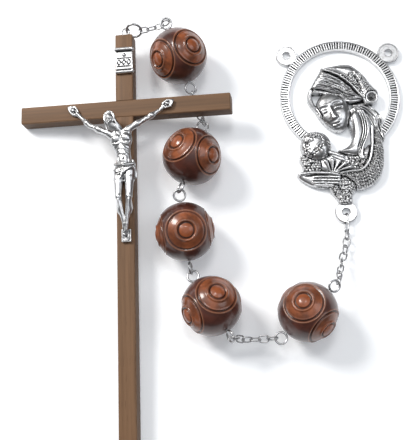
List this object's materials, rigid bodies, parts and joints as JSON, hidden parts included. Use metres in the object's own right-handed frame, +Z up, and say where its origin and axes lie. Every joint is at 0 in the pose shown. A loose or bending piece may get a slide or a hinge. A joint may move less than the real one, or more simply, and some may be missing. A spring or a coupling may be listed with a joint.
{
  "type": "rosary_pendant",
  "caption": "Rosary pendant with a wooden crucifix, carved wooden beads on wire pins, fine link chain and a cast openwork mother-and-child centrepiece with empty eyes for the decade loop",
  "frame": {"origin": "on the table, under the middle of the laid-out pendant's bounding box", "axes": "+Y points up the cross, from its foot to its top end, and is the longest extent; +X points from the cross to the centrepiece; +Z points up off the table and is the shortest extent"},
  "size_m": [0.1612, 0.1912, 0.0241],
  "materials": {
    "cross_wood": "satin mid-brown wood with fine straight grain",
    "bead_wood": "glossy varnished red-brown wood with carved discs",
    "wire_metal": "pewter-grey drawn wire",
    "cast_silver": "antique silver casting, darkened in the hollows"
  },
  "bodies": {
    "cross": {"upright": "cross_wood", "crossbar": "cross_wood", "corpus": "cast_silver", "title_scroll": "cast_silver", "title_nail": "cast_silver", "left_hand_nail": "cast_silver", "right_hand_nail": "cast_silver", "foot_nail": "cast_silver", "screw_eye": "wire_metal"},
    "jump_ring": {"jump_ring": "wire_metal"},
    "chain_a_1": {"chain_a_1": "wire_metal"},
    "chain_a_2": {"chain_a_2": "wire_metal"},
    "chain_a_3": {"chain_a_3": "wire_metal"},
    "chain_a_4": {"chain_a_4": "wire_metal"},
    "pin_1": {"pin_1": "wire_metal"},
    "chain_b_1": {"chain_b_1": "wire_metal"},
    "chain_b_2": {"chain_b_2": "wire_metal"},
    "chain_b_3": {"chain_b_3": "wire_metal"},
    "chain_b_4": {"chain_b_4": "wire_metal"},
    "chain_b_5": {"chain_b_5": "wire_metal"},
    "pin_2": {"pin_2": "wire_metal"},
    "pin_3": {"pin_3": "wire_metal"},
    "pin_4": {"pin_4": "wire_metal"},
    "chain_c_1": {"chain_c_1": "wire_metal"},
    "chain_c_2": {"chain_c_2": "wire_metal"},
    "chain_c_3": {"chain_c_3": "wire_metal"},
    "chain_c_4": {"chain_c_4": "wire_metal"},
    "chain_c_5": {"chain_c_5": "wire_metal"},
    "chain_c_6": {"chain_c_6": "wire_metal"},
    "pin_5": {"pin_5": "wire_metal"},
    "chain_d_1": {"chain_d_1": "wire_metal"},
    "chain_d_2": {"chain_d_2": "wire_metal"},
    "chain_d_3": {"chain_d_3": "wire_metal"},
    "chain_d_4": {"chain_d_4": "wire_metal"},
    "chain_d_5": {"chain_d_5": "wire_metal"},
    "chain_d_6": {"chain_d_6": "wire_metal"},
    "chain_d_7": {"chain_d_7": "wire_metal"},
    "chain_d_8": {"chain_d_8": "wire_metal"},
    "connector": {"connector": "wire_metal"},
    "centrepiece": {"centrepiece": "cast_silver"},
    "bead_1": {"bead_1": "bead_wood"},
    "bead_2": {"bead_2": "bead_wood"},
    "bead_3": {"bead_3": "bead_wood"},
    "bead_4": {"bead_4": "bead_wood"},
    "bead_5": {"bead_5": "bead_wood"}
  },
  "joints": [
    {"name": "cross_on_jump_ring", "type": "hinge", "parent": "jump_ring", "child": "cross", "pos_m": [-0.03547, 0.09125, 0.01101], "axis": [-0.222, 0.974, -0.0456], "range_deg": [-30, 0]},
    {"name": "jump_ring_on_chain_a_1", "type": "hinge", "parent": "chain_a_1", "child": "jump_ring", "pos_m": [-0.03105, 0.09092, 0.01161], "axis": [0.2698, -0.9409, 0.2048], "range_deg": [0, 30]},
    {"name": "chain_a_1_on_chain_a_2", "type": "hinge", "parent": "chain_a_2", "child": "chain_a_1", "pos_m": [-0.02709, 0.0919, 0.01089], "axis": [-0.2698, 0.9409, -0.2048], "range_deg": [-30, 0]},
    {"name": "chain_a_2_on_chain_a_3", "type": "hinge", "parent": "chain_a_3", "child": "chain_a_2", "pos_m": [-0.02457, 0.09252, 0.0109], "axis": [0.1705, -0.9574, 0.2332], "range_deg": [0, 20]},
    {"name": "chain_a_3_on_chain_a_4", "type": "hinge", "parent": "chain_a_4", "child": "chain_a_3", "pos_m": [-0.02069, 0.09348, 0.012], "axis": [-0.1705, 0.9574, -0.2332], "range_deg": [-25, 0]},
    {"name": "chain_a_4_on_pin_1", "type": "hinge", "parent": "pin_1", "child": "chain_a_4", "pos_m": [-0.01876, 0.09396, 0.01471], "axis": [-0.273, 0.7548, 0.5964], "range_deg": [-11, 0]},
    {"name": "pin_1_on_chain_b_1", "type": "hinge", "parent": "chain_b_1", "child": "pin_1", "pos_m": [-0.00811, 0.06326, 0.00922], "axis": [-0.8568, -0.39, 0.3372], "range_deg": [0, 30]},
    {"name": "chain_b_1_on_chain_b_2", "type": "hinge", "parent": "chain_b_2", "child": "chain_b_1", "pos_m": [-0.00768, 0.06151, 0.00752], "axis": [-0.9594, -0.2591, -0.1111], "range_deg": [0, 30]},
    {"name": "chain_b_2_on_chain_b_3", "type": "hinge", "parent": "chain_b_3", "child": "chain_b_2", "pos_m": [-0.00679, 0.05864, 0.00571], "axis": [-0.3188, -0.2598, -0.9115], "range_deg": [-2, 15]},
    {"name": "chain_b_3_on_chain_b_4", "type": "hinge", "parent": "chain_b_4", "child": "chain_b_3", "pos_m": [-0.00532, 0.0548, 0.00628], "axis": [0.3188, 0.2598, 0.9115], "range_deg": [-30, 5]},
    {"name": "chain_b_4_on_chain_b_5", "type": "hinge", "parent": "chain_b_5", "child": "chain_b_4", "pos_m": [-0.00439, 0.05256, 0.00715], "axis": [0.0493, 0.5485, 0.8347], "range_deg": [-30, 5]},
    {"name": "chain_b_5_on_pin_2", "type": "hinge", "parent": "pin_2", "child": "chain_b_5", "pos_m": [-0.0019, 0.04993, 0.009], "axis": [-0.6184, 0.7792, -0.1026], "range_deg": [-5, 30]},
    {"name": "pin_2_on_pin_3", "type": "hinge", "parent": "pin_3", "child": "pin_2", "pos_m": [-0.01292, 0.01839, 0.01507], "axis": [-0.5094, -0.0079, -0.8605], "range_deg": [-30, 30]},
    {"name": "pin_3_on_pin_4", "type": "hinge", "parent": "pin_4", "child": "pin_3", "pos_m": [-0.00781, -0.01389, 0.00873], "axis": [-0.1762, -0.2165, 0.9602], "range_deg": [-30, 30]},
    {"name": "pin_4_on_chain_c_1", "type": "hinge", "parent": "chain_c_1", "child": "pin_4", "pos_m": [0.00905, -0.04041, 0.0169], "axis": [-0.2239, 0.8966, 0.3821], "range_deg": [-30, 30]},
    {"name": "chain_c_1_on_chain_c_2", "type": "hinge", "parent": "chain_c_2", "child": "chain_c_1", "pos_m": [0.01063, -0.04058, 0.01408], "axis": [0.8736, 0.0481, 0.4842], "range_deg": [-30, 30]},
    {"name": "chain_c_2_on_chain_c_3", "type": "hinge", "parent": "chain_c_3", "child": "chain_c_2", "pos_m": [0.01321, -0.04067, 0.01193], "axis": [-0.0208, 0.9975, -0.0671], "range_deg": [-30, 30]},
    {"name": "chain_c_3_on_chain_c_4", "type": "hinge", "parent": "chain_c_4", "child": "chain_c_3", "pos_m": [0.01639, -0.04061, 0.01083], "axis": [-0.2547, -0.5923, -0.7644], "range_deg": [-30, 10]},
    {"name": "chain_c_4_on_chain_c_5", "type": "hinge", "parent": "chain_c_5", "child": "chain_c_4", "pos_m": [0.01895, -0.04043, 0.01033], "axis": [0.1447, -0.9257, -0.3494], "range_deg": [-30, 30]},
    {"name": "chain_c_5_on_chain_c_6", "type": "hinge", "parent": "chain_c_6", "child": "chain_c_5", "pos_m": [0.02222, -0.04018, 0.01108], "axis": [0.2234, -0.268, -0.9372], "range_deg": [-22, 22]},
    {"name": "chain_c_6_on_pin_5", "type": "hinge", "parent": "pin_5", "child": "chain_c_6", "pos_m": [0.02626, -0.04004, 0.012], "axis": [-0.2234, 0.268, 0.9372], "range_deg": [-30, 30]},
    {"name": "pin_5_on_chain_d_1", "type": "hinge", "parent": "chain_d_1", "child": "pin_5", "pos_m": [0.0507, -0.0178, 0.012], "axis": [-0.6016, 0.623, 0.5], "range_deg": [-30, 30]},
    {"name": "chain_d_1_on_chain_d_2", "type": "hinge", "parent": "chain_d_2", "child": "chain_d_1", "pos_m": [0.05089, -0.01593, 0.01042], "axis": [0.6703, -0.5878, -0.4529], "range_deg": [-30, 30]},
    {"name": "chain_d_2_on_chain_d_3", "type": "hinge", "parent": "chain_d_3", "child": "chain_d_2", "pos_m": [0.05191, -0.01282, 0.00788], "axis": [-0.6703, 0.5878, 0.4529], "range_deg": [-30, 30]},
    {"name": "chain_d_3_on_chain_d_4", "type": "hinge", "parent": "chain_d_4", "child": "chain_d_3", "pos_m": [0.05225, -0.01069, 0.00644], "axis": [0.1852, -0.4148, -0.8909], "range_deg": [-30, 25]},
    {"name": "chain_d_4_on_chain_d_5", "type": "hinge", "parent": "chain_d_5", "child": "chain_d_4", "pos_m": [0.05308, -0.00767, 0.00523], "axis": [-0.9448, 0.2231, -0.2401], "range_deg": [-30, 30]},
    {"name": "chain_d_5_on_chain_d_6", "type": "hinge", "parent": "chain_d_6", "child": "chain_d_5", "pos_m": [0.05433, -0.00403, 0.00368], "axis": [-0.9448, 0.2231, -0.2401], "range_deg": [-30, 30]},
    {"name": "chain_d_6_on_chain_d_7", "type": "hinge", "parent": "chain_d_7", "child": "chain_d_6", "pos_m": [0.05518, -0.00088, 0.00289], "axis": [0.5746, -0.3392, -0.7449], "range_deg": [-30, 30]},
    {"name": "chain_d_7_on_chain_d_8", "type": "hinge", "parent": "chain_d_8", "child": "chain_d_7", "pos_m": [0.0557, 0.00238, 0.00224], "axis": [0.9823, -0.1283, 0.1365], "range_deg": [-15, 15]},
    {"name": "chain_d_8_on_connector", "type": "hinge", "parent": "connector", "child": "chain_d_8", "pos_m": [0.05593, 0.00569, 0.00172], "axis": [0.6195, -0.1629, -0.7679], "range_deg": [-30, 30]},
    {"name": "connector_on_centrepiece", "type": "hinge", "parent": "centrepiece", "child": "connector", "pos_m": [0.0559, 0.01283, 0.00172], "axis": [0.3518, 0.0012, 0.9361], "range_deg": [-10, 10]},
    {"name": "bead_1_spin", "type": "hinge", "parent": "pin_1", "child": "bead_1", "pos_m": [-0.01418, 0.07907, 0.01208], "axis": [0.3533, -0.9205, -0.1668], "continuous": true},
    {"name": "bead_2_spin", "type": "hinge", "parent": "pin_2", "child": "bead_2", "pos_m": [-0.00798, 0.03455, 0.012], "axis": [-0.2877, -0.9409, 0.1789], "continuous": true},
    {"name": "bead_3_spin", "type": "hinge", "parent": "pin_3", "child": "bead_3", "pos_m": [-0.01044, 0.00275, 0.012], "axis": [0.1536, -0.9696, -0.1904], "continuous": true},
    {"name": "bead_4_spin", "type": "hinge", "parent": "pin_4", "child": "bead_4", "pos_m": [0.00033, -0.02743, 0.012], "axis": [0.5043, -0.8394, 0.2027], "continuous": true},
    {"name": "bead_5_spin", "type": "hinge", "parent": "pin_5", "child": "bead_5", "pos_m": [0.03834, -0.02973, 0.012], "axis": [0.7193, 0.6947, 0], "continuous": true}
  ]
}
